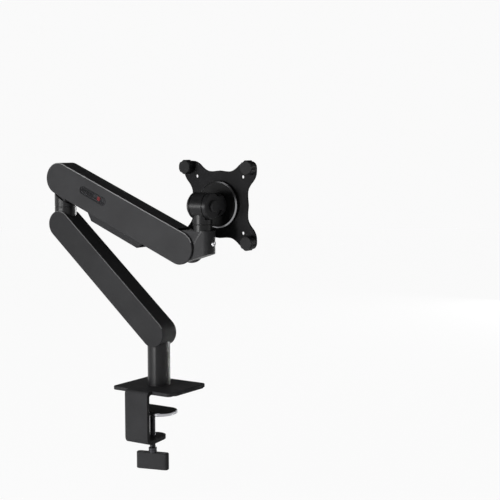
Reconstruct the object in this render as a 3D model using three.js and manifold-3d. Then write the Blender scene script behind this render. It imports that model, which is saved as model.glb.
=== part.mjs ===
// Desk-clamped monitor arm with a gas spring. Millimetres, +Z up.
// Origin: middle of the post, on the desk top (underside of the base pad).
// +X runs along the desk edge, +Y points over the desk towards the monitor.
import * as THREE from "three";
import { mergeVertices } from "three/addons/utils/BufferGeometryUtils.js";
import Module from "manifold-3d";

const wasm = await Module();
wasm.setup();

// ---- driving dimensions -------------------------------------------------
const GAP = 0.3; // running gap between neighbouring pieces

const PAD_T = 1.5; // rubber under the base plate
const PLATE_X = 98; // base plate, along the desk edge
const PLATE_Y0 = -41.5; // its edge over the bracket
const PLATE_Y1 = 43; // its edge over the desk
const PLATE_TOP = 6.5;
const PLATE_R = 6;

const BRACKET_W = 38; // folded clamp bracket
const BRACKET_T = 5;
const BRACKET_Y = -51; // its outer face
const BRACKET_BOTTOM = -66;
const SPINDLE_Y = -15.5; // clamp spindle axis
const SPINDLE_D = 8; // M8
const PRESS_X = 72; // oblong pressure plate
const PRESS_Y = 44;
const PRESS_TOP = -23.5;
const HANDLE_L = 46.5;
const HANDLE_W = 10.5;
const HANDLE_TOP = -84.5;
const HANDLE_BOTTOM = -107.5;
const HANDLE_TURN = 15; // degrees, as it stands at rest

const ARM_T = 31; // thickness of both arms, and diameter of post and elbow
const LOW_R = 19; // lower arm: half height, end centres
const LOW_A = [0, 79];
const LOW_B = [-166, 222];
const ELBOW_X = -166;
const ELBOW_SEAM = 246;
const UP_R = 22.2; // upper arm: half height, pivots
const UP_A = [-166, 287];
const UP_B = [46, 198];
const WALL = 3.2; // side walls of the upper arm
const LOWEST = -33; // lowest and highest slope of the upper arm, degrees
const HIGHEST = 30;
const LINK = 12; // pivot to tie bar pin, straight down
const TIE_H = 9; // height of the tie bar
const SPRING = 11; // head pivot to spring pin, straight up
const CHEEK = ARM_T / 2 - WALL - GAP; // half width of both knuckles

const HEAD_X = 75; // vertical swivel axis at the screen
const HEAD_TOP = 221.7;
const HEAD_SEAM = 229.5;
const HEAD_D = 25.7;
const HEAD_FACE = 16.5; // swivel axis to the right face of the knuckle
const BARREL_Z = 254.5; // tilt axis
const BARREL_D = 35;
const BARREL_L = 33;
const DISC_D = 63;
const VESA_Y = 39; // arm side of the screen plate
const VESA_T = 3;
const VESA_SIZE = 116;
const KNOB_D = 19.5;

// ---- working tools ------------------------------------------------------
const deg = THREE.MathUtils.degToRad;
const slope = Math.atan2(UP_B[1] - UP_A[1], UP_B[0] - UP_A[0]);
const upLength = Math.hypot(UP_B[0] - UP_A[0], UP_B[1] - UP_A[1]);
const lowSlope = Math.atan2(LOW_B[1] - LOW_A[1], LOW_B[0] - LOW_A[0]);
const lowLength = Math.hypot(LOW_B[0] - LOW_A[0], LOW_B[1] - LOW_A[1]);

// geometry -> manifold solid
function solid(geometry) {
  const flat = geometry.index ? geometry.toNonIndexed() : geometry;
  const bare = new THREE.BufferGeometry().setAttribute(
    "position",
    flat.getAttribute("position"),
  );
  const merged = mergeVertices(bare, 1e-4);
  return new wasm.Manifold(
    new wasm.Mesh({
      numProp: 3,
      vertProperties: merged.attributes.position.array,
      triVerts: new Uint32Array(merged.index.array),
    }),
  );
}
const join = (first, ...rest) => rest.reduce((a, b) => a.add(b), first);
const cut = (first, ...rest) => rest.reduce((a, b) => a.subtract(b), first);

// box from its corners
function box(x0, x1, y0, y1, z0, z1) {
  const g = new THREE.BoxGeometry(x1 - x0, y1 - y0, z1 - z0);
  g.translate((x0 + x1) / 2, (y0 + y1) / 2, (z0 + z1) / 2);
  return solid(g);
}
// cylinder or cone along Z, X or Y
function rodZ(x, y, r, z0, z1, r1 = r, n = 28) {
  const g = new THREE.CylinderGeometry(r1, r, z1 - z0, n);
  g.rotateX(Math.PI / 2);
  g.translate(x, y, (z0 + z1) / 2);
  return solid(g);
}
function rodX(y, z, r, x0, x1, r1 = r, n = 28) {
  const g = new THREE.CylinderGeometry(r1, r, x1 - x0, n);
  g.rotateZ(-Math.PI / 2);
  g.translate((x0 + x1) / 2, y, z);
  return solid(g);
}
function rodY(x, z, r, y0, y1, r1 = r, n = 24) {
  const g = new THREE.CylinderGeometry(r1, r, y1 - y0, n);
  g.translate(x, (y0 + y1) / 2, z);
  return solid(g);
}
// ring along Z or X
const ringZ = (x, y, r, bore, z0, z1) =>
  cut(rodZ(x, y, r, z0, z1), rodZ(x, y, bore, z0 - 1, z1 + 1));
const ringX = (y, z, r, bore, x0, x1) =>
  cut(rodX(y, z, r, x0, x1), rodX(y, z, bore, x0 - 1, x1 + 1));

// outline in X-Y raised along Z, optional edge chamfer
function flat(shape, z0, z1, bevel = 0, n = 4) {
  const g = new THREE.ExtrudeGeometry(shape, {
    depth: z1 - z0 - 2 * bevel,
    curveSegments: n,
    bevelEnabled: bevel > 0,
    bevelThickness: bevel,
    bevelSize: bevel,
    bevelOffset: -bevel,
    bevelSegments: 1,
  });
  g.translate(0, 0, z0 + bevel);
  return solid(g);
}
// outline in X-Z thickened along Y, optional edge chamfer
function side(shape, y0, y1, bevel = 0, n = 12) {
  const g = new THREE.ExtrudeGeometry(shape, {
    depth: y1 - y0 - 2 * bevel,
    curveSegments: n,
    bevelEnabled: bevel > 0,
    bevelThickness: bevel,
    bevelSize: bevel,
    bevelOffset: -bevel,
    bevelSegments: 1,
  });
  g.rotateX(Math.PI / 2);
  g.translate(0, y1 - bevel, 0);
  return solid(g);
}
function roundRect(x0, x1, y0, y1, r) {
  const s = new THREE.Shape();
  s.moveTo(x0 + r, y0);
  s.lineTo(x1 - r, y0);
  s.absarc(x1 - r, y0 + r, r, -Math.PI / 2, 0);
  s.lineTo(x1, y1 - r);
  s.absarc(x1 - r, y1 - r, r, 0, Math.PI / 2);
  s.lineTo(x0 + r, y1);
  s.absarc(x0 + r, y1 - r, r, Math.PI / 2, Math.PI);
  s.lineTo(x0, y0 + r);
  s.absarc(x0 + r, y0 + r, r, Math.PI, 1.5 * Math.PI);
  return s;
}
function polygon(points) {
  return new THREE.Shape(points.map(([x, y]) => new THREE.Vector2(x, y)));
}
// slot with round ends between two points
function stadium(a, b, r) {
  const t = Math.atan2(b[1] - a[1], b[0] - a[0]);
  const s = new THREE.Shape();
  s.absarc(a[0], a[1], r, t + Math.PI / 2, t + 1.5 * Math.PI);
  s.absarc(b[0], b[1], r, t - Math.PI / 2, t + Math.PI / 2);
  s.closePath();
  return s;
}
// a point given along and across the upper or the lower arm
const onUpper = (u, v) => [
  UP_A[0] + u * Math.cos(slope) - v * Math.sin(slope),
  UP_A[1] + u * Math.sin(slope) + v * Math.cos(slope),
];
const onLower = (u, v) => [
  LOW_A[0] + u * Math.cos(lowSlope) + v * Math.sin(lowSlope),
  LOW_A[1] + u * Math.sin(lowSlope) - v * Math.cos(lowSlope),
];
// turns and places a solid drawn along X to lie along the upper arm
function alongUpper(s, v = 0) {
  const [x, z] = onUpper(0, v);
  return s.rotate([0, -THREE.MathUtils.radToDeg(slope), 0]).translate([x, 0, z]);
}

const group = new THREE.Group();
group.name = "monitor_arm";
const BLACK = 0x1b1b1d,
  SATIN = 0x242427,
  STEEL = 0x8d8f92,
  ZINC = 0xa9abad,
  RUBBER = 0x111111,
  NYLON = 0xd8d6cc,
  GREY = 0x3a3b3e;
// manifold solid -> named mesh with its own material
function node(name, body, colour, metalness = 0.1, roughness = 0.5) {
  const m = body.getMesh();
  const step = m.numProp;
  const position = new Float32Array(m.numVert * 3);
  for (let i = 0; i < m.numVert; i++)
    position.set(m.vertProperties.subarray(i * step, i * step + 3), i * 3);
  const g = new THREE.BufferGeometry();
  g.setAttribute("position", new THREE.BufferAttribute(position, 3));
  g.setIndex(new THREE.BufferAttribute(new Uint32Array(m.triVerts), 1));
  g.computeVertexNormals();
  const mesh = new THREE.Mesh(
    g,
    new THREE.MeshStandardMaterial({ color: colour, metalness, roughness }),
  );
  mesh.name = name;
  group.add(mesh);
}

// ---- base plate and clamp -----------------------------------------------
const NOTCH = BRACKET_W / 2 + GAP;
const TONGUE_Y = -12;
const HOOK_Y = -28; // where the strip dives under the plate
{
  const outline = roundRect(-PLATE_X / 2, PLATE_X / 2, PLATE_Y0, PLATE_Y1, PLATE_R);
  node(
    "base_plate",
    cut(
      flat(outline, PAD_T + 0.05, PLATE_TOP, 0.6),
      box(-NOTCH, NOTCH, BRACKET_Y, HOOK_Y + GAP, 0, 10),
      box(-15.3, 15.3, HOOK_Y - 2, TONGUE_Y + GAP, 0, 4.3),
      rodZ(-11, -20, 2.3, 0, 5.7, 2.3, 16),
      rodZ(11, -20, 2.3, 0, 5.7, 2.3, 16),
      rodZ(0, 0, 8, 0, 3.2),
      rodZ(0, 0, 4.4, 0, 10),
    ),
    BLACK, 0.4, 0.5,
  );
  const pad = roundRect(-PLATE_X / 2 + 2, PLATE_X / 2 - 2, -26, PLATE_Y1 - 2, 4);
  node(
    "base_pad",
    cut(
      flat(pad, 0, PAD_T - 0.2, 0, 6),
      rodZ(-11, -20, 5.6, -1, 5, 5.6, 16),
      rodZ(11, -20, 5.6, -1, 5, 5.6, 16),
    ),
    RUBBER, 0, 0.9,
  );
  for (const [name, x] of [["bracket_screw_left", -11], ["bracket_screw_right", 11]])
    node(
      name,
      cut(
        join(rodZ(x, -20, 4, 1.6, 3.2, 2, 16), rodZ(x, -20, 2, 3, 5.4, 2, 16)),
        rodZ(x, -20, 1.3, 1, 2.7, 1.3, 6),
      ),
      STEEL, 0.9, 0.35,
    );
}
{
  // one folded strip: tongue under the plate, web, foot that takes the screw
  const outer = 8,
    y0 = BRACKET_Y,
    y1 = BRACKET_Y + BRACKET_T,
    zt = PLATE_TOP,
    zb = BRACKET_BOTTOM,
    footY = SPINDLE_Y + 4; // middle of the foot's round end
  const s = new THREE.Shape();
  s.moveTo(HOOK_Y, zt - BRACKET_T);
  s.lineTo(y1 + 3, zt - BRACKET_T);
  s.absarc(y1 + 3, zt - BRACKET_T - 3, 3, Math.PI / 2, Math.PI);
  s.lineTo(y1, zb + BRACKET_T + 3);
  s.absarc(y1 + 3, zb + BRACKET_T + 3, 3, Math.PI, 1.5 * Math.PI);
  s.lineTo(footY + 20, zb + BRACKET_T);
  s.lineTo(footY + 20, zb);
  s.lineTo(y0 + outer, zb);
  s.absarc(y0 + outer, zb + outer, outer, 1.5 * Math.PI, Math.PI, true);
  s.lineTo(y0, zt - 5);
  s.absarc(y0 + 5, zt - 5, 5, Math.PI, Math.PI / 2, true);
  s.lineTo(HOOK_Y, zt);
  const g = new THREE.ExtrudeGeometry(s, {
    depth: BRACKET_W,
    curveSegments: 8,
    bevelEnabled: false,
  });
  // the outline's axes are Y and Z, its thickness runs along X
  g.rotateX(Math.PI / 2);
  g.rotateZ(Math.PI / 2);
  g.translate(-BRACKET_W / 2, 0, 0);
  const strip = solid(g);
  const foot = new THREE.Shape();
  foot.moveTo(-BRACKET_W / 2, y0 - 10);
  foot.lineTo(BRACKET_W / 2, y0 - 10);
  foot.lineTo(BRACKET_W / 2, -32);
  foot.lineTo(15.5, footY + 3);
  foot.absarc(0, footY, 15.5, 0.2, Math.PI - 0.2);
  foot.lineTo(-BRACKET_W / 2, -32);
  node(
    "clamp_bracket",
    cut(
      join(
        box(-15, 15, HOOK_Y - 1, TONGUE_Y, PAD_T, 4),
        strip.intersect(
          join(
            box(-25, 25, y0 - 5, HOOK_Y, zb + 6, zt + 9),
            flat(foot, zb - 7, zb + 13, 0, 14),
          ),
        ),
      ),
      rodZ(0, SPINDLE_Y, SPINDLE_D / 2 + GAP, zb - 15, zb + 25, SPINDLE_D / 2 + GAP, 24),
      rodZ(-11, -20, 4.4, 1.2, 3.3, 2.3, 16),
      rodZ(11, -20, 4.4, 1.2, 3.3, 2.3, 16),
      rodZ(-11, -20, 2.3, 0, 5, 2.3, 16),
      rodZ(11, -20, 2.3, 0, 5, 2.3, 16),
    ),
    BLACK, 0.4, 0.5,
  );
}
{
  const z = PRESS_TOP,
    y = SPINDLE_Y;
  const oblong = (inset) =>
    roundRect(
      -PRESS_X / 2 + inset, PRESS_X / 2 - inset,
      y - PRESS_Y / 2 + inset, y + PRESS_Y / 2 - inset,
      PRESS_Y / 2 - 3 - inset,
    );
  node(
    "pressure_plate",
    cut(
      join(
        flat(oblong(0), z - 5, z - 0.4, 0.9, 10),
        rodZ(0, y, 6.5, z - 9, z - 4.9, 6.5, 24),
      ),
      flat(oblong(2), z - 2, z + 1, 0, 10),
      rodZ(0, y, SPINDLE_D / 2 + GAP, z - 20, z - 4, SPINDLE_D / 2 + GAP, 24),
    ),
    BLACK, 0.4, 0.5,
  );
  node(
    "pressure_pad",
    flat(oblong(2 + GAP), z - 1.8, z, 0, 10),
    RUBBER, 0, 0.9,
  );
  node(
    "clamp_spindle",
    join(
      rodZ(0, y, SPINDLE_D / 2, HANDLE_TOP - 12, z - 4.3, SPINDLE_D / 2, 24),
      rodZ(0, y, 5.75, HANDLE_TOP + 0.4, HANDLE_TOP + 7, 5.75, 24),
    ),
    STEEL, 0.9, 0.35,
  );
  const h = roundRect(-HANDLE_L / 2, HANDLE_L / 2, -HANDLE_W / 2, HANDLE_W / 2, 4.8);
  node(
    "clamp_handle",
    cut(
      flat(h, HANDLE_BOTTOM, HANDLE_TOP, 0.8)
        .rotate([0, 0, HANDLE_TURN])
        .translate([0, y, 0]),
      rodZ(0, y, SPINDLE_D / 2 + GAP, HANDLE_TOP - 12.3, 0, SPINDLE_D / 2 + GAP, 24),
    ),
    BLACK, 0, 0.5,
  );
}
// fixed spigot that the post turns on
node(
  "post_spigot",
  cut(
    join(rodZ(0, 0, 11, PLATE_TOP + 0.3, 12, 11), rodZ(0, 0, 8, 11, 82)),
    rodZ(0, 0, 4.4, 0, 33),
  ),
  STEEL, 0.9, 0.35,
);
node(
  "spigot_bolt",
  cut(
    join(rodZ(0, 0, 7.6, 1.9, 2.9), rodZ(0, 0, 4, 2.8, 30)),
    rodZ(0, 0, 2.6, 1, 2.5, 2.6, 6),
  ),
  STEEL, 0.9, 0.35,
);

// ---- lower arm ----------------------------------------------------------
{
  const groove = side(
    stadium(onLower(34, -LOW_R + 2), onLower(lowLength - 40, -LOW_R + 2), 9.5),
    -9, 9, 0, 8,
  );
  node(
    "lower_arm_casting",
    cut(
      join(
        side(stadium(LOW_A, LOW_B, LOW_R), -ARM_T / 2, ARM_T / 2, 0.9),
        rodZ(0, 0, ARM_T / 2, PLATE_TOP + 1.4, LOW_A[1], ARM_T / 2, 36),
        rodZ(ELBOW_X, 0, ARM_T / 2, LOW_B[1], ELBOW_SEAM, ARM_T / 2, 36),
      ),
      rodZ(0, 0, 11.3, 0, 12.6),
      rodZ(0, 0, 10.3, 12, 83),
      rodZ(ELBOW_X, 0, 9.3, 212, 260),
      groove,
      rodY(0, 24, 2.8, 5, 20, 2.8, 16),
      rodY(ELBOW_X, 232, 2.8, 5, 20, 2.8, 16),
    ),
    BLACK, 0.3, 0.45,
  );
  const strip = side(
    stadium(onLower(34, -LOW_R + 2), onLower(lowLength - 40, -LOW_R + 2), 9.2),
    -8.7, 8.7, 0, 8,
  );
  const belly = side(stadium(LOW_A, LOW_B, LOW_R - 0.2), -20, 16);
  const inner = side(stadium(LOW_A, LOW_B, LOW_R - 2.4), -20, 16);
  node("lower_cable_cover", cut(strip.intersect(belly), inner), GREY, 0, 0.6);
  node("post_bush_lower", ringZ(0, 0, 10, 8.3, 12.8, 20.8), NYLON, 0, 0.6);
  node("post_bush_upper", ringZ(0, 0, 10, 8.3, 60, 80), NYLON, 0, 0.6);
  node("post_washer", ringZ(0, 0, 15.2, 11.4, PLATE_TOP + 0.3, PLATE_TOP + 1.1), NYLON, 0, 0.6);
  for (const [name, x, z, r] of [
    ["post_set_screw", 0, 24, 8.3],
    ["elbow_set_screw", ELBOW_X, 232, 7.4],
  ])
    node(
      name,
      cut(rodY(x, z, 2.5, r, 15, 2.5, 16), rodY(x, z, 1.3, 12.5, 16, 1.3, 6)),
      STEEL, 0.9, 0.35,
    );
  node("elbow_bush", ringZ(ELBOW_X, 0, 9, 7.3, 236, ELBOW_SEAM - 0.2), NYLON, 0, 0.6);
}

// ---- elbow --------------------------------------------------------------
const [px, pz] = UP_A;
const [hx, hz] = UP_B;
// the space the upper arm sweeps over the elbow as it tilts down to LOWEST
const low = deg(LOWEST);
const sweep = join(
  rodY(px, pz, UP_R + 0.5, -20, 20, UP_R + 0.5, 64),
  side(
    polygon([
      [px, pz],
      [px + (UP_R + 0.5) * Math.sin(low), pz - (UP_R + 0.5) * Math.cos(low)],
      [
        px + (UP_R + 0.5) * Math.sin(low) + 60 * Math.cos(low),
        pz - (UP_R + 0.5) * Math.cos(low) + 60 * Math.sin(low),
      ],
      [px + 60, pz],
    ]),
    -20, 20,
  ),
);
// the space the tie bar sweeps beside a knuckle, from lowest to highest
function barSweep(x, z, way) {
  const fan = [LOWEST - 1, LOWEST + 12, LOWEST + 25, LOWEST + 38, LOWEST + 51, HIGHEST + 1];
  return join(
    ...fan.map((angle) => {
      const far = [
        x + way * 40 * Math.cos(deg(angle)),
        z + way * 40 * Math.sin(deg(angle)),
      ];
      return side(stadium([x, z], far, TIE_H / 2 + 2 * GAP), -CHEEK - 1, -7.2, 0, 8);
    }),
  );
}
{
  const neck = side(
    polygon([
      [px - 9, 250], [px + 9, 250], [px + 9, pz - 14], [px + 6, pz - 3],
      [px - 6, pz - 3], [px - 9, pz - 14],
    ]),
    -CHEEK, CHEEK,
  );
  const pocket = barSweep(px, pz - LINK, 1);
  node(
    "elbow_knuckle",
    cut(
      join(
        cut(rodZ(ELBOW_X, 0, ARM_T / 2, ELBOW_SEAM + 1.3, pz - 19, ARM_T / 2, 36), sweep),
        neck,
        rodY(px, pz, 6.8, -CHEEK, CHEEK),
      ),
      pocket,
      rodY(px, pz, 3.8, -20, 16),
      rodY(px, pz - LINK, 2.8, -20, 4, 2.8, 16),
      rodZ(ELBOW_X, 0, 7.3, 240, 262),
    ),
    BLACK, 0.3, 0.45,
  );
  node("elbow_shaft", rodZ(ELBOW_X, 0, 7, 212.5, 261.5), STEEL, 0.9, 0.35);
  node("elbow_washer", ringZ(ELBOW_X, 0, 15.1, 7.6, ELBOW_SEAM + 0.3, ELBOW_SEAM + 1), NYLON, 0, 0.6);
  node("elbow_pivot_pin", rodY(px, pz, 3.5, -13.4, 15.2), STEEL, 0.9, 0.35);
  node("elbow_tie_pin", rodY(px, pz - LINK, 2.5, -11.7, 3.5, 2.5, 16), STEEL, 0.9, 0.35);
}

// ---- upper arm ----------------------------------------------------------
const GAUGE_U = 68; // middle of the gauge window along the arm
const GAUGE_V = 3.6; // and above its centre line
const GAUGE_L = 50;
const GAUGE_H = 11.5;
const SPRING_V = SPRING * Math.cos(slope); // spring axis, above the centre line
const COVER_U0 = 58; // cable cover, ends along the arm, depth below it
const COVER_U1 = 172;
const COVER_H = 10.5;
const ROOF = UP_R - 4; // inner height of the channel
const TUBE_R = ROOF - SPRING_V - 1; // spring cylinder, under the roof
const POINTER_U = GAUGE_U + 10; // places along the arm at rest
const ANCHOR_U = GAUGE_U + 26;
const between = (u0, u1, r, v = 0) =>
  stadium(onUpper(u0 + r, v), onUpper(u1 - r, v), r);
const quad = (u0, u1, v0, v1) =>
  polygon([onUpper(u0, v0), onUpper(u1, v0), onUpper(u1, v1), onUpper(u0, v1)]);
{
  const hollow = CHEEK + GAP; // half width of the channel
  const inside = join(
    // the channel, closed above and round the upper left end
    side(between(-ROOF, upLength + 60, ROOF), -hollow, hollow),
    side(quad(-14, upLength + 60, -40, 0), -hollow, hollow),
    side(quad(-40, 10, -40, -6), -hollow, hollow),
    // the fork that the head knuckle swings in
    side(quad(upLength - 14, upLength + 60, -40, 40), -hollow, hollow),
  );
  node(
    "upper_arm_casting",
    cut(
      join(
        cut(side(stadium(UP_A, UP_B, UP_R), -ARM_T / 2, ARM_T / 2, 0.9), inside),
        // cross wall that carries the tension screw
        side(quad(30, 36, 1.5, UP_R - 1), -hollow - 0.5, hollow + 0.5),
      ),
      side(
        between(GAUGE_U - GAUGE_L / 2, GAUGE_U + GAUGE_L / 2, GAUGE_H / 2, GAUGE_V),
        -20, -14.3,
      ),
      side(between(GAUGE_U - 23, GAUGE_U + 23, 2.8, GAUGE_V), -20, -10),
      rodY(px, pz, 3.8, -13.7, 16),
      rodY(hx, hz, 3.8, -13.7, 16),
      alongUpper(rodX(0, 0, 3.4, -30, 50, 3.4, 24), SPRING_V),
    ),
    BLACK, 0.3, 0.45,
  );
  const lens = between(
    GAUGE_U - GAUGE_L / 2 + GAP, GAUGE_U + GAUGE_L / 2 - GAP,
    GAUGE_H / 2 - GAP, GAUGE_V,
  );
  node("gauge_window", side(lens, -15.2, -14.5), 0x1c1d20, 0, 0.15);
  // tension screw, its nut, the pointer it carries
  node(
    "tension_screw",
    alongUpper(
      cut(
        join(rodX(0, 0, 4.6, 26.5, 29.7, 4.6, 24), rodX(0, 0, 3, 29, ANCHOR_U - 18, 3, 24)),
        rodX(0, 0, 2, 25, 29, 2, 6),
      ),
      SPRING_V,
    ),
    STEEL, 0.9, 0.35,
  );
  const nutSide = (u0, u1, v0, v1, y0, y1) => side(quad(u0, u1, v0, v1), y0, y1);
  node(
    "tension_nut",
    cut(
      nutSide(POINTER_U - 12, ANCHOR_U + 6, -4.2, ROOF - 0.4, GAP - hollow + 0.1, hollow - 0.4),
      alongUpper(rodX(0, 0, 3.3, POINTER_U - 16, ANCHOR_U - 7, 3.3, 24), SPRING_V),
      nutSide(ANCHOR_U - 7.5, ANCHOR_U + 7, 2.2, 20, -4.2, 4.2),
      nutSide(POINTER_U - 2.2, POINTER_U + 2.2, GAUGE_V - 2.2, GAUGE_V + 2.2, -13, -9.2),
      rodY(...onUpper(ANCHOR_U, SPRING_V), 2.8, -20, 20, 2.8, 16),
    ),
    ZINC, 0.7, 0.45,
  );
  node(
    "gauge_pointer",
    join(
      nutSide(POINTER_U - 2.3, POINTER_U + 2.3, GAUGE_V - 2.5, GAUGE_V + 2.5, -14.1, -12.9),
      nutSide(POINTER_U - 1.9, POINTER_U + 1.9, GAUGE_V - 1.9, GAUGE_V + 1.9, -13, -9.5),
    ),
    0xd81e2c, 0, 0.5,
  );
  node("spring_anchor_pin", rodY(...onUpper(ANCHOR_U, SPRING_V), 2.5, -11.6, 11.6, 2.5, 16), STEEL, 0.9, 0.35);
  node(
    "gas_spring_cylinder",
    cut(
      join(
        alongUpper(rodX(0, 0, TUBE_R, ANCHOR_U + 8, ANCHOR_U + 88, TUBE_R, 24), SPRING_V),
        nutSide(ANCHOR_U - 5.5, ANCHOR_U + 9, SPRING_V - 5, SPRING_V + 5, -3.9, 3.9),
      ),
      rodY(...onUpper(ANCHOR_U, SPRING_V), 2.8, -20, 20, 2.8, 16),
      alongUpper(rodX(0, 0, 4.3, ANCHOR_U + 18, ANCHOR_U + 96, 4.3, 24), SPRING_V),
    ),
    BLACK, 0.5, 0.35,
  );
  // spring pin on the head knuckle
  const sx = hx,
    sz = hz + SPRING;
  const du = (sx - px) * Math.cos(slope) + (sz - pz) * Math.sin(slope);
  const play = SPRING * (1 - Math.cos(slope)); // the pin rises this much when level
  const eyeOf = (r) => stadium(onUpper(du, SPRING_V - play), onUpper(du, SPRING_V + play), r);
  node(
    "gas_spring_rod",
    cut(
      join(
        alongUpper(rodX(0, 0, 4, ANCHOR_U + 36, du - 3.5, 4, 24), SPRING_V),
        side(eyeOf(4.4), -3.9, 3.9, 0, 10),
      ),
      side(eyeOf(2.8), -10, 10, 0, 10),
    ),
    STEEL, 0.95, 0.2,
  );
  // parallel link that keeps the head level
  node(
    "tie_bar",
    cut(
      side(stadium([px, pz - LINK], [hx, hz - LINK], TIE_H / 2), -11, -7.5, 0, 10),
      rodY(px, pz - LINK, 2.8, -20, 0, 2.8, 16),
      rodY(hx, hz - LINK, 2.8, -20, 0, 2.8, 16),
    ),
    STEEL, 0.8, 0.4,
  );
  // U-shaped trough under the belly, clipped in by lips beside the tie bar
  const belly = -UP_R;
  const troughSide = (inset, floor) =>
    polygon([
      onUpper(COVER_U0 - inset, belly + 3 + inset / 4),
      onUpper(COVER_U1 + inset, belly + 3 + inset / 4),
      onUpper(COVER_U1 - 10 + inset / 2, belly - floor),
      onUpper(COVER_U0 + 16 - inset / 2, belly - floor),
    ]);
  const trough = side(troughSide(0, COVER_H), -10.5, 10.5, 1);
  const core = side(troughSide(4, COVER_H - 2.2), -8.5, 8.5);
  const mouth = side(quad(COVER_U0 - 10, COVER_U1 + 10, belly + 1, 0), -8.5, 8.5);
  const lipTop = -LINK - TIE_H / 2 - 2 * GAP;
  const lip = (u) =>
    side(quad(u - 9, u + 9, belly + 1, lipTop), -hollow + 0.2, hollow - 0.2);
  node(
    "cable_cover",
    cut(join(trough, lip(COVER_U0 + 25), lip(COVER_U1 - 25)), core, mouth),
    GREY, 0, 0.6,
  );
  node("head_pivot_pin", rodY(hx, hz, 3.5, -13.4, 15.2), STEEL, 0.9, 0.35);
}

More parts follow.
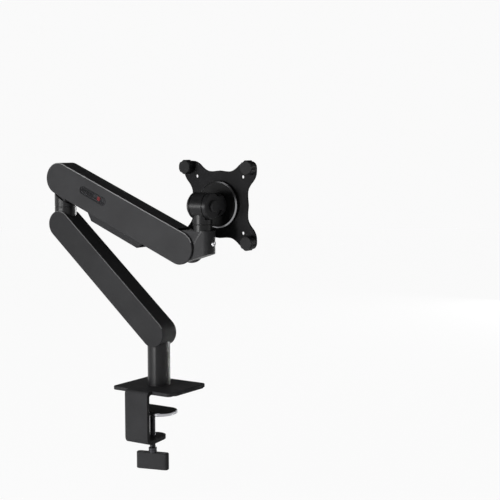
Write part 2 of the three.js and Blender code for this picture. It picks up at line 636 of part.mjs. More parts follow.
// ---- head: knuckle, swivel and tilt barrel --------------------------------
const K = HEAD_X;
const HEAD_R = HEAD_D / 2;
{
  const outline = new THREE.Shape();
  outline.moveTo(hx + 1, HEAD_TOP);
  outline.lineTo(K + HEAD_FACE, HEAD_TOP);
  outline.lineTo(K + HEAD_FACE, hz - 6.4);
  outline.lineTo(hx + 5, 178.7);
  outline.absarc(hx, hz, 20, deg(-75), deg(-175), true);
  outline.absarc(hx, hz, 17, deg(170), deg(88), true);
  outline.closePath();
  const plan = roundRect(hx - 30, K + HEAD_FACE, -CHEEK, CHEEK, 9.5);
  const slot = side(
    polygon([
      [hx + 6.8, hz + 4.3], [hx - 3, hz + 4.3], [hx - 24, hz - 10.5],
      [hx - 24, hz + 30], [hx + 6.8, hz + 30],
    ]),
    -4.3, 4.3,
  );
  const pocket = barSweep(hx, hz - LINK, -1);
  node(
    "head_knuckle",
    cut(
      join(
        side(outline, -CHEEK, CHEEK).intersect(flat(plan, hz - 48, HEAD_TOP + 18)),
        rodZ(K, 0, HEAD_R, HEAD_TOP - 1, HEAD_SEAM, HEAD_R, 36),
      ),
      slot,
      pocket,
      rodY(hx, hz, 3.8, -20, 16),
      rodY(hx, hz - LINK, 2.8, -20, 4, 2.8, 16),
      rodY(hx, hz + SPRING, 2.8, -10, 20, 2.8, 16),
      rodZ(K, 0, 8.3, 199, HEAD_SEAM + 10),
      rodX(0, 205, 2.8, K + 5, K + HEAD_FACE + 7, 2.8, 16),
    ),
    BLACK, 0.3, 0.45,
  );
  node("head_tie_pin", rodY(hx, hz - LINK, 2.5, -11.7, 3.5, 2.5, 16), STEEL, 0.9, 0.35);
  node("spring_end_pin", rodY(hx, hz + SPRING, 2.5, -9.5, 11.7, 2.5, 16), STEEL, 0.9, 0.35);
  node(
    "head_set_screw",
    cut(
      join(
        rodX(0, 205, 2.5, K + 6.4, K + HEAD_FACE + 1, 2.5, 16),
        rodX(0, 205, 4, K + HEAD_FACE + 0.3, K + HEAD_FACE + 2.5, 3, 24),
      ),
      rodX(0, 205, 1.6, K + HEAD_FACE + 1.3, K + HEAD_FACE + 4, 1.6, 6),
    ),
    0xd8dadc, 1, 0.2,
  );
  node("swivel_bush", ringZ(K, 0, 8, 6.3, 210, HEAD_SEAM - 0.2), NYLON, 0, 0.6);
  node("swivel_washer", ringZ(K, 0, 12.4, 6.6, HEAD_SEAM + 0.3, HEAD_SEAM + 1), NYLON, 0, 0.6);
  node("swivel_shaft", rodZ(K, 0, 6, 199.5, BARREL_Z - 9.5), STEEL, 0.9, 0.35);
  node(
    "swivel_barrel",
    cut(
      join(
        rodZ(K, 0, HEAD_R, HEAD_SEAM + 1.3, BARREL_Z - BARREL_D / 2 - 0.6, HEAD_R, 36),
        rodZ(K, 0, HEAD_R, BARREL_Z - BARREL_D / 2 - 1, BARREL_Z - 8, HEAD_R, 36).intersect(
          box(K - 9.2, K + 9.2, -20, 20, HEAD_SEAM, BARREL_Z),
        ),
        rodX(0, BARREL_Z, BARREL_D / 2, K - 9.2, K + 9.2, BARREL_D / 2, 36),
      ),
      rodZ(K, 0, 6.3, HEAD_SEAM, BARREL_Z - 9),
      rodX(0, BARREL_Z, 4.4, K - 20, K + 20),
      box(K - 30, K + 30, HEAD_R - 3, 30, HEAD_SEAM, BARREL_Z - BARREL_D / 2 + 0.5),
    ),
    BLACK, 0.3, 0.45,
  );
}
{
  const half = BARREL_L / 2,
    r = BARREL_D / 2;
  node(
    "tilt_yoke",
    cut(
      join(
        rodX(0, BARREL_Z, r, K + 10.5, K + half - 1.2, r, 36),
        rodX(0, BARREL_Z, r, K + half - 1.21, K + half, r - 1.2, 36),
        rodX(0, BARREL_Z, r, K - half + 4, K - 10.5, r, 36),
        rodX(0, BARREL_Z, r - 4, K - half, K - half + 4.01, r, 36),
        box(K - half + 4, K - 10.5, 4, 24, BARREL_Z - 6, BARREL_Z + 12),
        box(K + 10.5, K + half, 4, 24, BARREL_Z - 6, BARREL_Z + 12),
        box(K - half + 4, K + half, r + 0.6, 26, BARREL_Z - 6, BARREL_Z + 12),
        rodY(K, BARREL_Z, 16, 24, 32.4, 16, 36),
      ),
      rodX(0, BARREL_Z, 4.4, K - 30, K + 30),
      rodX(0, BARREL_Z, 6.9, K - 20, K - half + 4.4),
      rodX(0, BARREL_Z, 6.9, K + half - 4.4, K + 20),
      rodX(0, BARREL_Z, r + 0.4, K - 10.4, K + 10.4, r + 0.4, 36),
      rodY(K, BARREL_Z, 4.3, 19, 40),
    ),
    BLACK, 0.3, 0.45,
  );
  node(
    "tilt_bolt",
    cut(
      join(
        rodX(0, BARREL_Z, 6.5, K - half + 0.5, K - half + 4.1),
        rodX(0, BARREL_Z, 4, K - half + 4, K + half - 0.4),
      ),
      rodX(0, BARREL_Z, 3, K - half, K - half + 3, 3, 6),
    ),
    STEEL, 0.9, 0.35,
  );
  node(
    "tilt_nut",
    cut(
      rodX(0, BARREL_Z, 6.5, K + half - 4.1, K + half - 0.4, 6.5, 6),
      rodX(0, BARREL_Z, 4.3, K, K + 30),
    ),
    STEEL, 0.9, 0.35,
  );
  node(
    "hub_cap",
    join(
      rodX(0, BARREL_Z, 8, K + half + 0.3, K + half + 4, 7.2, 24),
      rodX(0, BARREL_Z, 6.3, K + half - 0.1, K + half + 0.4, 6.3, 24),
    ),
    SATIN, 0, 0.5,
  );
  node("friction_washer_left", ringX(0, BARREL_Z, 16, 4.4, K - 10.2, K - 9.5), NYLON, 0, 0.6);
  node("friction_washer_right", ringX(0, BARREL_Z, 16, 4.4, K + 9.5, K + 10.2), NYLON, 0, 0.6);
}

// ---- screen plate ---------------------------------------------------------
{
  const disc = DISC_D / 2;
  node(
    "rotation_disc",
    cut(
      join(
        rodY(K, BARREL_Z, disc - 1.6, 32.7, 34.3, disc, 48),
        rodY(K, BARREL_Z, disc, 34.29, 37.9, disc, 48),
      ),
      rodY(K, BARREL_Z, 4.3, 20, 40),
    ),
    BLACK, 0.3, 0.4,
  );
  node(
    "rotation_washer",
    cut(rodY(K, BARREL_Z, 27, 38.1, 38.8, 27, 36), rodY(K, BARREL_Z, 4.4, 30, 40)),
    NYLON, 0, 0.6,
  );
  node(
    "rotation_bolt",
    cut(
      join(
        rodY(K, BARREL_Z, 4, 20, 40.8),
        rodY(K, BARREL_Z, 7.6, 40.3, 41.8),
      ),
      rodY(K, BARREL_Z, 2.5, 39.5, 45, 2.5, 6),
    ),
    STEEL, 0.9, 0.35,
  );
  const half = VESA_SIZE / 2;
  const R = half - 50 + 0.5;
  // one concave side, from lobe to lobe, as distance out and position along
  const dip = [
    [half, 41], [54.6, 33.5], [49, 27], [45, 19.5], [44.6, 10], [45.6, 0],
    [44.6, -10], [45, -19.5], [49, -27], [54.6, -33.5], [half, -41],
  ];
  const s = new THREE.Shape();
  for (let k = 0; k < 4; k++) {
    const t = (k * Math.PI) / 2,
      c = Math.round(Math.cos(t)),
      n = Math.round(Math.sin(t));
    const at = ([d, w]) => new THREE.Vector2(d * c + w * n, d * n - w * c);
    if (k === 0) s.moveTo(...at([50 + R, 50]).toArray());
    s.splineThru([...dip.map(at), at([50 + R, -50])]);
    const m = at([50, -50]);
    s.absarc(m.x, m.y, R, t, t + Math.PI / 2);
  }
  const plate = flat(s, 0, VESA_T, 0, 2)
    .rotate([90, 0, 0])
    .translate([K, VESA_Y + VESA_T, BARREL_Z]);
  const holes = [];
  for (const [i, k] of [[-1, -1], [1, -1], [-1, 1], [1, 1]]) {
    holes.push(rodY(K + 37.5 * i, BARREL_Z + 37.5 * k, 2.4, 30, 50, 2.4, 16));
    holes.push(rodY(K + 50 * i, BARREL_Z + 50 * k, 2.4, 30, 50, 2.4, 16));
  }
  node(
    "vesa_plate",
    cut(
      plate,
      ...holes,
      rodY(K, BARREL_Z, 8, 40, 50),
      rodY(K, BARREL_Z, 4.4, 30, 50),
    ),
    BLACK, 0.4, 0.5,
  );
  const knobs = [
    ["thumb_screw_top_left", -50, 50],
    ["thumb_screw_top_right", 50, 50],
    ["thumb_screw_bottom_left", -50, -50],
    ["thumb_screw_bottom_right", 50, -50],
  ];
  for (const [name, dx, dz] of knobs) {
    const x = K + dx,
      z = BARREL_Z + dz;
    const scallops = [];
    for (let i = 0; i < 6; i++) {
      const a = (i * Math.PI) / 3;
      scallops.push(
        rodY(x + 12 * Math.cos(a), z + 12 * Math.sin(a), 3.6, 20, 50, 3.6, 16),
      );
    }
    node(
      name,
      join(
        cut(
          join(
            rodY(x, z, KNOB_D / 2, 28, VESA_Y - GAP, KNOB_D / 2, 36),
            rodY(x, z, KNOB_D / 2 - 1.2, 26.8, 28.01, KNOB_D / 2, 36),
          ),
          ...scallops,
        ),
        rodY(x, z, 2, VESA_Y - 1, VESA_Y + VESA_T + 8, 2, 16),
      ),
      BLACK, 0, 0.55,
    );
  }
}

export default group;
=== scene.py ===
"""A desk-clamped spring arm for a screen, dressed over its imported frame."""
import math

import bpy
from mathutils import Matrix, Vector


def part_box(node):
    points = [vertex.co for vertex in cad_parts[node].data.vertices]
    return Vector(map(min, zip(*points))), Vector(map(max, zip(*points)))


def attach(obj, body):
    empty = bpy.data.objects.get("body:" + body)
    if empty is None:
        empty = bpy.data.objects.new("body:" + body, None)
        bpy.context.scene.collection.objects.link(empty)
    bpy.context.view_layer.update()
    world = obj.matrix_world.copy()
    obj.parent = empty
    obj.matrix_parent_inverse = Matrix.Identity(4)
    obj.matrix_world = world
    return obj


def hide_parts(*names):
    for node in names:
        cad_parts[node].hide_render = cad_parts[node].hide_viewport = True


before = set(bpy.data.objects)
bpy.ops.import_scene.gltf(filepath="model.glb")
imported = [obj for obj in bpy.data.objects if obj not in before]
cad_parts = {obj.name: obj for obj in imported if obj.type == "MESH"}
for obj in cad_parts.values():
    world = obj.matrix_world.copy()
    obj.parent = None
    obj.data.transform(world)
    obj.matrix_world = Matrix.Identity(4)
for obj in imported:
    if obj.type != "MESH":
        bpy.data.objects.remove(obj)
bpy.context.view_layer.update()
scene = bpy.context.scene
scene.view_settings.view_transform = "Standard"

# ---- Camera ------------------------------------------------------------------
# A long lens from the front right of the clamp, level with the middle of the
# arm and tipped down a few degrees.
camera_data = bpy.data.cameras.new("camera")
camera_data.sensor_width = 36.0
camera_data.lens = 85.3
camera = bpy.data.objects.new("camera", camera_data)
camera.location = (0.9857, -1.2718, 0.3385)
camera.rotation_euler = (math.radians(84.78), math.radians(0.09), math.radians(33.31))
scene.collection.objects.link(camera)
scene.camera = camera

# ---- Floor, backdrop and light -----------------------------------------------
# A pale sheet under the opened clamp and a low pale wall all round. Soft lamps
# on the front left and behind, a dim one on the right, slim ones in front and
# overhead, and a small one behind the post for its rim.
FLOOR_Z, FLOOR_HALF = -0.140, 6.0
GLOW_SHARE = 0.95


def pale_sheet():
    """Paper that reads white where it is seen and keeps a faint shadow."""
    mat = bpy.data.materials.new("pale_sheet")
    mat.use_nodes = True
    nt = mat.node_tree
    nt.nodes.clear()
    out = nt.nodes.new("ShaderNodeOutputMaterial")
    mix = nt.nodes.new("ShaderNodeMixShader")
    rays = nt.nodes.new("ShaderNodeLightPath")
    glow = nt.nodes.new("ShaderNodeEmission")
    paper = nt.nodes.new("ShaderNodeBsdfDiffuse")
    seen_by_camera_or_gloss = nt.nodes.new("ShaderNodeMath")
    seen_at_all = nt.nodes.new("ShaderNodeMath")
    share = nt.nodes.new("ShaderNodeMath")
    glow.inputs["Color"].default_value = (1, 1, 1, 1)
    glow.inputs["Strength"].default_value = 1.0
    paper.inputs["Color"].default_value = (0.86, 0.86, 0.86, 1)
    share.operation = "MULTIPLY"
    share.inputs[1].default_value = GLOW_SHARE
    seen_by_camera_or_gloss.operation = seen_at_all.operation = "MAXIMUM"
    nt.links.new(rays.outputs["Is Camera Ray"], seen_by_camera_or_gloss.inputs[0])
    nt.links.new(rays.outputs["Is Glossy Ray"], seen_by_camera_or_gloss.inputs[1])
    nt.links.new(seen_by_camera_or_gloss.outputs[0], seen_at_all.inputs[0])
    nt.links.new(rays.outputs["Is Transmission Ray"], seen_at_all.inputs[1])
    nt.links.new(seen_at_all.outputs[0], share.inputs[0])
    nt.links.new(share.outputs[0], mix.inputs["Fac"])
    nt.links.new(paper.outputs[0], mix.inputs[1])
    nt.links.new(glow.outputs[0], mix.inputs[2])
    nt.links.new(mix.outputs[0], out.inputs["Surface"])
    return mat


floor_mesh = bpy.data.meshes.new("floor")
floor_mesh.from_pydata(
    [
        (-FLOOR_HALF, -FLOOR_HALF, FLOOR_Z), (FLOOR_HALF, -FLOOR_HALF, FLOOR_Z),
        (FLOOR_HALF, FLOOR_HALF, FLOOR_Z), (-FLOOR_HALF, FLOOR_HALF, FLOOR_Z),
    ],
    [], [(0, 1, 2, 3)],
)
floor = bpy.data.objects.new("floor", floor_mesh)
sheet = pale_sheet()
floor.data.materials.append(sheet)
scene.collection.objects.link(floor)

RING_R, RING_TOP, RING_SIDES = 5.0, 1.7, 96
ring_points = []
for height in (FLOOR_Z, RING_TOP):
    for k in range(RING_SIDES):
        a = 2 * math.pi * k / RING_SIDES
        ring_points.append((RING_R * math.cos(a), RING_R * math.sin(a), height))
ring_mesh = bpy.data.meshes.new("backdrop")
ring_mesh.from_pydata(ring_points, [], [
    (k, RING_SIDES + k, RING_SIDES + (k + 1) % RING_SIDES, (k + 1) % RING_SIDES)
    for k in range(RING_SIDES)
])
backdrop = bpy.data.objects.new("backdrop", ring_mesh)
backdrop.data.materials.append(sheet)
scene.collection.objects.link(backdrop)

world = bpy.data.worlds.new("surround")
scene.world = world
world.use_nodes = True
ambient = world.node_tree.nodes["Background"]
ambient.inputs["Color"].default_value = (1, 1, 1, 1)
ambient.inputs["Strength"].default_value = 0.045


def lamp(name, place, aim, width, height, watts, spread=180):
    """Soft box lamp at a place, turned to an aim; sizes in metres."""
    data = bpy.data.lights.new(name, "AREA")
    data.shape = "RECTANGLE"
    data.size, data.size_y = width, height
    data.energy = watts
    data.spread = math.radians(spread)
    ob = bpy.data.objects.new(name, data)
    ob.location = place
    ob.rotation_euler = (Vector(aim) - Vector(place)).to_track_quat("-Z", "Y").to_euler()
    ob.visible_camera = False
    scene.collection.objects.link(ob)


lamp("front_left", (-0.9, -1.9, 0.14), (0, 0, 0.12), 0.9, 0.55, 18)
lamp("soft_back", (0.12, 2.1, 0.12), (0, 0, 0.12), 0.9, 0.45, 13)
lamp("slim_front", (-0.13, -0.79, 0.065), (0, 0, 0.065), 0.11, 0.39, 2.4)
lamp("soft_right", (1.9, 0.9, 0.45), (0, 0, 0.12), 0.9, 0.45, 3)
lamp("overhead", (-0.36, -0.70, 2.0), (-0.05, 0, 0.2), 1.0, 0.12, 2.8)
lamp("low_right", (0.62, 1.05, -0.05), (0, 0, 0.04), 0.08, 0.08, 0.012, spread=6)

# ---- Base plate and its rubber pad -------------------------------------------
# Laser-cut steel plate with broken edges, black powder coat with a fine
# orange-peel skin; a thin rubber sheet is glued under it.
MOTTLING = 0.12


def coat(name, colour, rough, peel, depth, specular):
    """Dark paint or plastic with a fine skin, faintly mottled in tone."""
    mat = bpy.data.materials.new(name)
    mat.use_nodes = True
    nt = mat.node_tree
    skin = nt.nodes["Principled BSDF"]
    skin.inputs["Specular IOR Level"].default_value = specular
    place = nt.nodes.new("ShaderNodeTexCoord")
    fine = nt.nodes.new("ShaderNodeTexNoise")
    fine.inputs["Scale"].default_value = peel
    fine.inputs["Detail"].default_value = 4.0
    broad = nt.nodes.new("ShaderNodeTexNoise")
    broad.inputs["Scale"].default_value = 22.0
    broad.inputs["Detail"].default_value = 3.0
    nt.links.new(place.outputs["Object"], fine.inputs["Vector"])
    nt.links.new(place.outputs["Object"], broad.inputs["Vector"])
    tone = nt.nodes.new("ShaderNodeValToRGB")
    r, g, b = colour
    low, high = 1 - MOTTLING, 1 + MOTTLING
    tone.color_ramp.elements[0].position = 0.3
    tone.color_ramp.elements[0].color = (r * low, g * low, b * low, 1)
    tone.color_ramp.elements[1].position = 0.7
    tone.color_ramp.elements[1].color = (r * high, g * high, b * high, 1)
    nt.links.new(broad.outputs["Fac"], tone.inputs["Fac"])
    nt.links.new(tone.outputs["Color"], skin.inputs["Base Color"])
    span = nt.nodes.new("ShaderNodeMapRange")
    span.inputs["To Min"].default_value = rough - 0.05
    span.inputs["To Max"].default_value = rough + 0.05
    nt.links.new(fine.outputs["Fac"], span.inputs["Value"])
    nt.links.new(span.outputs["Result"], skin.inputs["Roughness"])
    bump = nt.nodes.new("ShaderNodeBump")
    bump.inputs["Strength"].default_value = depth
    bump.inputs["Distance"].default_value = 0.0002
    nt.links.new(fine.outputs["Fac"], bump.inputs["Height"])
    nt.links.new(bump.outputs["Normal"], skin.inputs["Normal"])
    return mat


def dress(node, mat, edge=0.00035):
    """Finish on a frame part, with its sharp edges eased as on the real one."""
    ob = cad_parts[node]
    ob.data.materials.clear()
    ob.data.materials.append(mat)
    normals = ob.data.attributes.get("custom_normal")
    if normals:
        ob.data.attributes.remove(normals)
    ob.data.polygons.foreach_set("use_smooth", [True] * len(ob.data.polygons))
    weld = ob.modifiers.new("one_skin", "WELD")
    weld.merge_threshold = 1e-6
    ease = ob.modifiers.new("eased_edges", "BEVEL")
    ease.width = edge
    ease.segments = 2
    ease.limit_method = "ANGLE"
    ease.angle_limit = math.radians(28)
    ease.harden_normals = True
    ease.use_clamp_overlap = True


def second_coat(node, mat, chosen):
    """A different finish on the faces that chosen(normal, centre) picks."""
    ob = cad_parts[node]
    ob.data.materials.append(mat)
    place = ob.matrix_world
    for face in ob.data.polygons:
        if chosen(place.to_3x3() @ face.normal, place @ face.center):
            face.material_index = len(ob.data.materials) - 1


powder_coat = coat("powder_coat", (0.050, 0.050, 0.052), 0.6, 1400, 0.25, specular=0.02)
rubber = coat("rubber", (0.014, 0.014, 0.014), 0.85, 900, 0.35, specular=0.2)
dress("base_plate", powder_coat, 0.0005)
dress("base_pad", rubber, 0.0002)

# ---- Clamp bracket and its two screws ----------------------------------------
# One steel strip folded into a C, coated as the plate; it hooks over the
# desk edge and is held under the plate by two countersunk screws.


def metal(name, colour, rough, streak):
    """Bare or plated metal with a fine uneven grain."""
    mat = bpy.data.materials.new(name)
    mat.use_nodes = True
    nt = mat.node_tree
    skin = nt.nodes["Principled BSDF"]
    skin.inputs["Metallic"].default_value = 1.0
    place = nt.nodes.new("ShaderNodeTexCoord")
    grain = nt.nodes.new("ShaderNodeTexNoise")
    grain.inputs["Scale"].default_value = streak
    grain.inputs["Detail"].default_value = 5.0
    nt.links.new(place.outputs["Object"], grain.inputs["Vector"])
    tone = nt.nodes.new("ShaderNodeValToRGB")
    tone.color_ramp.elements[0].color = tuple(c * 0.8 for c in colour) + (1,)
    tone.color_ramp.elements[1].color = tuple(min(1, c * 1.15) for c in colour) + (1,)
    nt.links.new(grain.outputs["Fac"], tone.inputs["Fac"])
    nt.links.new(tone.outputs["Color"], skin.inputs["Base Color"])
    span = nt.nodes.new("ShaderNodeMapRange")
    span.inputs["To Min"].default_value = rough - 0.06
    span.inputs["To Max"].default_value = rough + 0.08
    nt.links.new(grain.outputs["Fac"], span.inputs["Value"])
    nt.links.new(span.outputs["Result"], skin.inputs["Roughness"])
    return mat


plated_steel = metal("plated_steel", (0.42, 0.42, 0.44), 0.34, 260)
dress("clamp_bracket", powder_coat, 0.0006)
dress("bracket_screw_left", plated_steel, 0.0001)
dress("bracket_screw_right", plated_steel, 0.0001)

# ---- Pressure plate ----------------------------------------------------------
# Oblong cast plate with a rim round a rubber pad, turning on the spindle's tip.
dress("pressure_plate", powder_coat, 0.0004)
second_coat("pressure_plate", plated_steel, lambda n, c: abs(n.z) < 0.8)
dress("pressure_pad", rubber, 0.0003)

# ---- Clamp spindle -----------------------------------------------------------
# Blackened steel screw with a rolled M8 thread from the plate to the collar;
# the collar is pressed on above the handle.
black_steel = metal("black_steel", (0.06, 0.06, 0.065), 0.38, 300)
low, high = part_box("clamp_spindle")
axis_x, axis_y = (low.x + high.x) / 2, (low.y + high.y) / 2


THREAD_RADIUS, THREAD_ROOT, THREAD_PITCH = 0.004, 0.0034, 0.00125
ROWS_PER_TURN, RUN_OUT_ROWS = 6, 4


def ring(x, y, z, radii):
    """Points round an upright axis, one for each radius."""
    step = 2 * math.pi / len(radii)
    return [
        (x + r * math.cos(step * k), y + r * math.sin(step * k), z)
        for k, r in enumerate(radii)
    ]


def skin_over(name, rings):
    """One closed, smooth skin over rings stacked from the bottom up."""
    around = len(rings[0])
    faces = []
    for i in range(len(rings) - 1):
        for k in range(around):
            n = (k + 1) % around
            faces.append((
                i * around + k, i * around + n,
                (i + 1) * around + n, (i + 1) * around + k,
            ))
    faces.append(tuple(reversed(range(around))))
    faces.append(tuple((len(rings) - 1) * around + k for k in range(around)))
    mesh = bpy.data.meshes.new(name)
    mesh.from_pydata([point for points in rings for point in points], [], faces)
    mesh.polygons.foreach_set("use_smooth", [True] * len(mesh.polygons))
    ob = bpy.data.objects.new(name, mesh)
    scene.collection.objects.link(ob)
    return ob


def thread(name, x, y, z0, z1, around=24):
    """Right-handed screw thread: a cosine-edged ridge wound up the root."""
    rows = int((z1 - z0) / THREAD_PITCH * ROWS_PER_TURN)
    rings = []
    for i in range(rows + 1):
        z = z0 + (z1 - z0) * i / rows
        height = THREAD_RADIUS - THREAD_ROOT
        height *= min(1.0, i / RUN_OUT_ROWS, (rows - i) / RUN_OUT_ROWS)
        turns = (z - z0) / THREAD_PITCH
        rings.append(ring(x, y, z, [
            THREAD_ROOT + height * min(
                1.0, 1.35 * (0.5 + 0.5 * math.cos(2 * math.pi * (turns - k / around))),
            )
            for k in range(around)
        ]))
    return skin_over(name, rings)


def turned(name, x, y, profile, around=40):
    """Turned piece about an upright axis: profile is (radius, height) pairs."""
    ob = skin_over(name, [ring(x, y, z, [r] * around) for r, z in profile])
    ob.data.set_sharp_from_angle(angle=math.radians(30))
    return ob


spindle = thread("spindle_thread", axis_x, axis_y, low.z, high.z)
spindle.data.materials.append(black_steel)
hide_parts("clamp_spindle")
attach(spindle, "clamp_screw")
COLLAR_BORE, COLLAR_RADIUS, GROOVE_RADIUS = 0.0042, 0.0057, 0.0052
COLLAR_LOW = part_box("clamp_handle")[1].z + 0.0004
collar = turned("spindle_collar", axis_x, axis_y, [
    (radius, COLLAR_LOW + up) for radius, up in (
        (COLLAR_BORE, 0.0), (COLLAR_RADIUS, 0.0), (COLLAR_RADIUS, 0.0026),
        (GROOVE_RADIUS, 0.0029), (GROOVE_RADIUS, 0.0037),
        (COLLAR_RADIUS, 0.0040), (COLLAR_RADIUS, 0.0060),
        (GROOVE_RADIUS, 0.0066), (COLLAR_BORE, 0.0066),
    )
])
collar.data.materials.append(black_steel)
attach(collar, "clamp_screw")

# ---- Clamp handle ------------------------------------------------------------
# Moulded nylon wing, round at both ends, pressed on the spindle's flats.
moulded = coat("moulded_nylon", (0.052, 0.052, 0.054), 0.5, 1700, 0.3, specular=0.06)
dress("clamp_handle", moulded, 0.0006)

# ---- Post spigot and bolt ----------------------------------------------------
# Plated steel bar bolted up through the plate; the post turns on it.
dress("post_spigot", plated_steel, 0.0002)
dress("spigot_bolt", plated_steel, 0.0001)

# ---- Lower arm ---------------------------------------------------------------
# One aluminium casting with the post, in the satin black coat made darker than the
# upper arm's as painted shade, with a glossier chamfer round both flat sides whose
# upward part carries a painted highlight; the turned post and end are painted darker
# still as painted shade; a clip-in strip closes the cable groove underneath.
POST_RADIUS, ELBOW_X = 0.0155, -0.166
POST_TOP, END_BOTTOM = 0.062, 0.238
CHAMFER_Y = 0.0145
satin = coat("satin_coat", (0.047, 0.047, 0.049), 0.42, 1900, 0.18, specular=0.07)
strip_plastic = coat("strip_plastic", (0.034, 0.034, 0.036), 0.55, 1500, 0.3, specular=0.1)
nylon = coat("black_nylon", (0.02, 0.02, 0.021), 0.42, 700, 0.1, specular=0.35)
# Glossier edge finish; its light colour is a painted highlight along the chamfer.
lower_edge_highlight = coat("lower_edge_painted_highlight", (0.20, 0.20, 0.205), 0.28, 1900, 0.05, specular=0.7)
# Glossier satin for the turned surfaces, painted darker than the satin coat: painted shade
# on the round parts.
turned_shaded_coat = coat(
    "turned_satin_painted_shade_coat", (0.017, 0.017, 0.018), 0.30, 1900, 0.08, specular=0.2,
)


def upright(x, radius):
    """Picks the faces of an upright turned surface."""
    def on_surface(normal, centre):
        reach = math.hypot(centre.x - x, centre.y)
        return abs(normal.z) < 0.1 and abs(reach - radius) < 0.0003
    return on_surface


def chamfer_for_painted_highlight(normal, centre):
    """Picks the upward part of the chamfer round an arm's flat sides, which gets a painted
    highlight.
    """
    return 0.5 < abs(normal.y) < 0.9 and normal.z > 0.3 and abs(centre.y) > CHAMFER_Y


# The lower arm wears a darker copy of the satin coat: painted shade.
lower_arm_painted_shade_satin = coat(
    "lower_arm_painted_shade_coat", (0.034, 0.034, 0.0355), 0.42, 1900, 0.18, specular=0.07,
)
dress("lower_arm_casting", lower_arm_painted_shade_satin, 0.00045)
# Painted highlight on the upward chamfer of the lower arm.
second_coat("lower_arm_casting", lower_edge_highlight, chamfer_for_painted_highlight)
on_post, on_end = upright(0.0, POST_RADIUS), upright(ELBOW_X, POST_RADIUS)
# Turned post and end of the lower arm: painted shade.
second_coat(
    "lower_arm_casting", turned_shaded_coat,
    lambda n, c: (c.z < POST_TOP and on_post(n, c)) or (c.z > END_BOTTOM and on_end(n, c)),
)
dress("lower_cable_cover", strip_plastic, 0.0003)
for part in ("post_bush_lower", "post_bush_upper", "post_washer", "elbow_bush"):
    dress(part, nylon, 0.0002)
for part in ("post_set_screw", "elbow_set_screw"):
    dress(part, plated_steel, 0.0001)

# ---- Elbow -------------------------------------------------------------------
# Cast block that turns on a steel bar in the lower arm's end and carries the
# upper arm's pivot pin and the parallel link's pin.
dress("elbow_knuckle", satin, 0.0004)
# Turned end of the elbow: painted shade.
second_coat("elbow_knuckle", turned_shaded_coat, on_end)
dress("elbow_washer", nylon, 0.00015)
for part in ("elbow_shaft", "elbow_tie_pin", "elbow_pivot_pin"):
    dress(part, plated_steel, 0.0002)

# ---- Upper arm ---------------------------------------------------------------
# Channel-shaped casting, open below, with a glossier chamfer round both flat sides
# whose upward part carries a painted highlight; a moulded cover clips over the open side.
dress("upper_arm_casting", satin, 0.00045)
# Glossier edge finish; its light colour is a painted highlight along the upward chamfer.
upper_edge_painted_highlight = coat("upper_edge_painted_highlight", (0.38, 0.38, 0.385), 0.28, 1900, 0.05, specular=0.8)
second_coat("upper_arm_casting", upper_edge_painted_highlight, chamfer_for_painted_highlight)
dress("cable_cover", strip_plastic, 0.0004)
dress("head_pivot_pin", plated_steel, 0.0002)

# ---- Gauge -------------------------------------------------------------------
# Smoked clear window let into the casting over a printed scale, with a red
# pointer that the tension nut carries along.
smoked = bpy.data.materials.new("smoked_window")
smoked.use_nodes = True
pane = smoked.node_tree.nodes["Principled BSDF"]
pane.inputs["Base Color"].default_value = (0.05, 0.05, 0.053, 1)
pane.inputs["Roughness"].default_value = 0.3
pane.inputs["Specular IOR Level"].default_value = 0.03
pane.inputs["Alpha"].default_value = 0.34
haze = smoked.node_tree.nodes.new("ShaderNodeTexNoise")
haze.inputs["Scale"].default_value = 500
haze_bump = smoked.node_tree.nodes.new("ShaderNodeBump")
haze_bump.inputs["Strength"].default_value = 0.02
smoked.node_tree.links.new(haze.outputs["Fac"], haze_bump.inputs["Height"])
smoked.node_tree.links.new(haze_bump.outputs["Normal"], pane.inputs["Normal"])
dress("gauge_window", smoked, 0.0002)
pointer_red = coat("pointer_red", (1.0, 0.02, 0.03), 0.45, 800, 0.1, specular=0.4)
dress("gauge_pointer", pointer_red, 0.0002)
pane_low, pane_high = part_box("gauge_window")
pane_mid = (pane_low + pane_high) / 2
ARM_RUN, ARM_DROP = 0.212, 0.089
MARK_COUNT, MARK_STEP, FIRST_MARK = 11, 0.0039, -0.0195
MARK_HALF_WIDTH, LONG_MARK, SHORT_MARK, MARK_TOP = 0.00015, 0.0016, 0.0010, -0.0031
arm_slope = math.atan2(-ARM_DROP, ARM_RUN)
marks, mark_faces = [], []
for k in range(MARK_COUNT):
    along = FIRST_MARK + MARK_STEP * k
    left, right = along - MARK_HALF_WIDTH, along + MARK_HALF_WIDTH
    foot = MARK_TOP - (LONG_MARK if k % 5 == 0 else SHORT_MARK)
    for dy in (0.0, 0.00012):
        for u, v in ((left, MARK_TOP), (right, MARK_TOP), (right, foot), (left, foot)):
            marks.append((
                pane_mid.x + u * math.cos(arm_slope) - v * math.sin(arm_slope),
                pane_high.y + 0.00001 + dy,
                pane_mid.z + u * math.sin(arm_slope) + v * math.cos(arm_slope),
            ))
    b = 8 * k
    mark_faces += [
        (b, b + 1, b + 2, b + 3), (b + 7, b + 6, b + 5, b + 4),
        (b, b + 4, b + 5, b + 1), (b + 1, b + 5, b + 6, b + 2),
        (b + 2, b + 6, b + 7, b + 3), (b + 3, b + 7, b + 4, b),
    ]
mark_mesh = bpy.data.meshes.new("scale_marks")
mark_mesh.from_pydata(marks, [], mark_faces)
scale_marks = bpy.data.objects.new("scale_marks", mark_mesh)
scene.collection.objects.link(scale_marks)
mark_grey = coat("mark_grey", (0.22, 0.22, 0.22), 0.6, 600, 0.05, specular=0.05)
scale_marks.data.materials.append(mark_grey)
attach(scale_marks, "upper_arm")

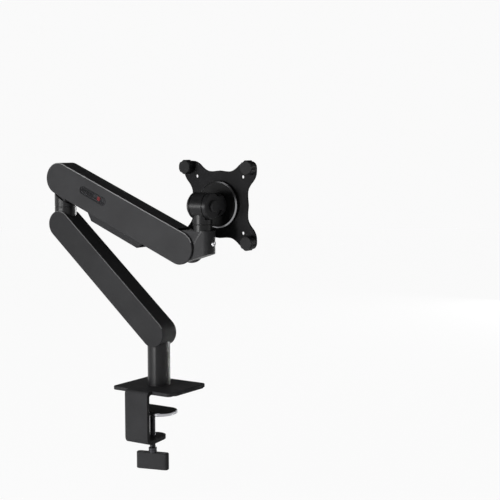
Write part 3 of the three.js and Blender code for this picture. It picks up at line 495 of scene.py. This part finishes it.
# ---- Tension screw, nut, gas spring and parallel link ------------------------
# Working parts inside the channel: plated steel, blackened cast zinc and a
# gloss black spring tube with a bright rod.
blackened_zinc = metal("blackened_zinc", (0.07, 0.07, 0.075), 0.5, 180)
bright_rod = metal("bright_rod", (0.8, 0.8, 0.82), 0.14, 60)
gloss_tube = coat("gloss_tube", (0.02, 0.02, 0.02), 0.2, 300, 0.05, specular=0.5)
dress("tension_screw", plated_steel, 0.0002)
dress("tension_nut", blackened_zinc, 0.0004)
dress("spring_anchor_pin", plated_steel, 0.0002)
dress("gas_spring_cylinder", gloss_tube, 0.0003)
dress("gas_spring_rod", bright_rod, 0.0002)
dress("tie_bar", plated_steel, 0.0003)

# ---- Head knuckle and swivel -------------------------------------------------
# Cast block in the fork of the upper arm with an upright boss; the barrel
# above turns on a bar that a bright grub screw pinches.
dress("head_knuckle", satin, 0.0005)
dress("swivel_barrel", satin, 0.0004)
BARREL_AXIS, BARREL_RADIUS = 0.2545, 0.0175
HEAD_X, NECK_RADIUS = 0.075, 0.01285
on_neck = upright(HEAD_X, NECK_RADIUS)


def on_barrel(normal, centre):
    """Picks the turned surface of the lying barrel."""
    reach = math.hypot(centre.y, centre.z - BARREL_AXIS)
    return abs(normal.x) < 0.1 and abs(reach - BARREL_RADIUS) < 0.0003


# Turned neck and barrel: painted shade.
second_coat("head_knuckle", turned_shaded_coat, on_neck)
second_coat("swivel_barrel", turned_shaded_coat, lambda n, c: on_neck(n, c) or on_barrel(n, c))
chrome = metal("bright_screw", (0.85, 0.85, 0.87), 0.18, 90)
dress("head_set_screw", chrome, 0.0002)
for part in ("head_tie_pin", "spring_end_pin", "swivel_shaft"):
    dress(part, plated_steel, 0.0002)
for part in ("swivel_bush", "swivel_washer"):
    dress(part, nylon, 0.00015)

# ---- Tilt yoke ---------------------------------------------------------------
# Cast fork that hugs the barrel, pulled together by one cross bolt whose nut
# sits under a moulded cap.
dress("tilt_yoke", satin, 0.0004)
# Turned faces of the yoke round the barrel: painted shade.
second_coat("tilt_yoke", turned_shaded_coat, on_barrel)
dress("hub_cap", moulded, 0.0005)
for part in ("tilt_bolt", "tilt_nut", "rotation_bolt"):
    dress(part, plated_steel, 0.0002)
for part in ("friction_washer_left", "friction_washer_right", "rotation_washer"):
    dress(part, nylon, 0.0001)

# ---- Rotation disc and screen plate ------------------------------------------
# Turned disc with a fine machined edge behind a laser-cut steel plate.
# The disc's coat is painted near black as painted shade.
disc_painted_shade_coat = coat("disc_painted_shade_coat", (0.014, 0.014, 0.0145), 0.45, 1900, 0.15, specular=0.05)
dress("rotation_disc", disc_painted_shade_coat, 0.0005)
machined = metal("machined_rim", (0.30, 0.30, 0.31), 0.3, 420)
RIM_Y = 0.0345
second_coat("rotation_disc", machined, lambda n, c: -0.95 < n.y < -0.3 and c.y < RIM_Y)
# A darker copy of the powder coat on the screen plate: painted shade.
plate_painted_shade_coat = coat("plate_painted_shade_coat", (0.026, 0.026, 0.027), 0.6, 1400, 0.25, specular=0.02)
dress("vesa_plate", plate_painted_shade_coat, 0.0004)

# ---- Thumb screws ------------------------------------------------------------
# Four scalloped moulded heads on M4 screws.
# A darker copy of the handle's moulded nylon on the heads: painted shade.
knob_nylon_painted_shade = coat("knob_nylon_painted_shade", (0.026, 0.026, 0.027), 0.45, 1700, 0.3, specular=0.06)
for part in (
    "thumb_screw_top_left", "thumb_screw_top_right",
    "thumb_screw_bottom_left", "thumb_screw_bottom_right",
):
    dress(part, knob_nylon_painted_shade, 0.0005)
